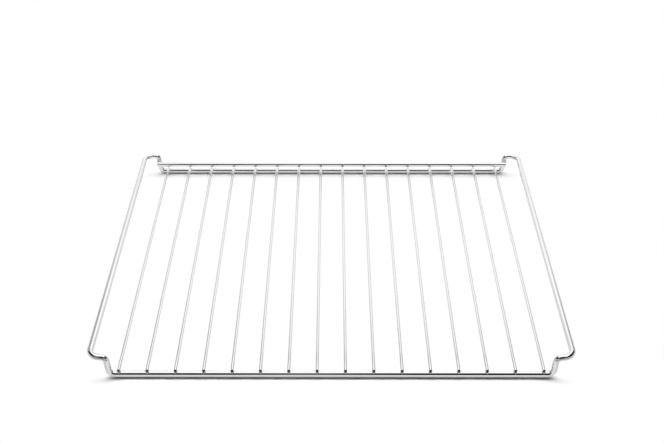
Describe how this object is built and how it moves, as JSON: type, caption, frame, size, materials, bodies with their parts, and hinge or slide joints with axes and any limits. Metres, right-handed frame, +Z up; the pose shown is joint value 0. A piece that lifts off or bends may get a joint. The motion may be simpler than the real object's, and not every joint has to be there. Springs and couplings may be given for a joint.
{
  "type": "oven rack",
  "caption": "Flat chrome wire shelf for an oven, with raised side rails that slide on runners, a straight grid and a stop wire at the back.",
  "frame": {"origin": "on the floor, below the middle of the rack's outline", "axes": "+X to the right along the front rail, +Y from the front rail to the rear rail with the stop wire, +Z up"},
  "size_m": [0.446, 0.364, 0.026],
  "materials": {
    "frame_wire": "bright nickel-chrome plating on drawn steel wire",
    "cross_wire": "bright nickel-chrome plating on drawn steel wire",
    "stop_wire": "bright nickel-chrome plating on drawn steel wire"
  },
  "bodies": {
    "root": {"outer_frame": "frame_wire", "cross_wire_01": "cross_wire", "cross_wire_02": "cross_wire", "cross_wire_03": "cross_wire", "cross_wire_04": "cross_wire", "cross_wire_05": "cross_wire", "cross_wire_06": "cross_wire", "cross_wire_07": "cross_wire", "cross_wire_08": "cross_wire", "cross_wire_09": "cross_wire", "cross_wire_10": "cross_wire", "cross_wire_11": "cross_wire", "cross_wire_12": "cross_wire", "cross_wire_13": "cross_wire", "cross_wire_14": "cross_wire", "cross_wire_15": "cross_wire", "cross_wire_16": "cross_wire", "back_stop_wire": "stop_wire"}
  },
  "joints": []
}
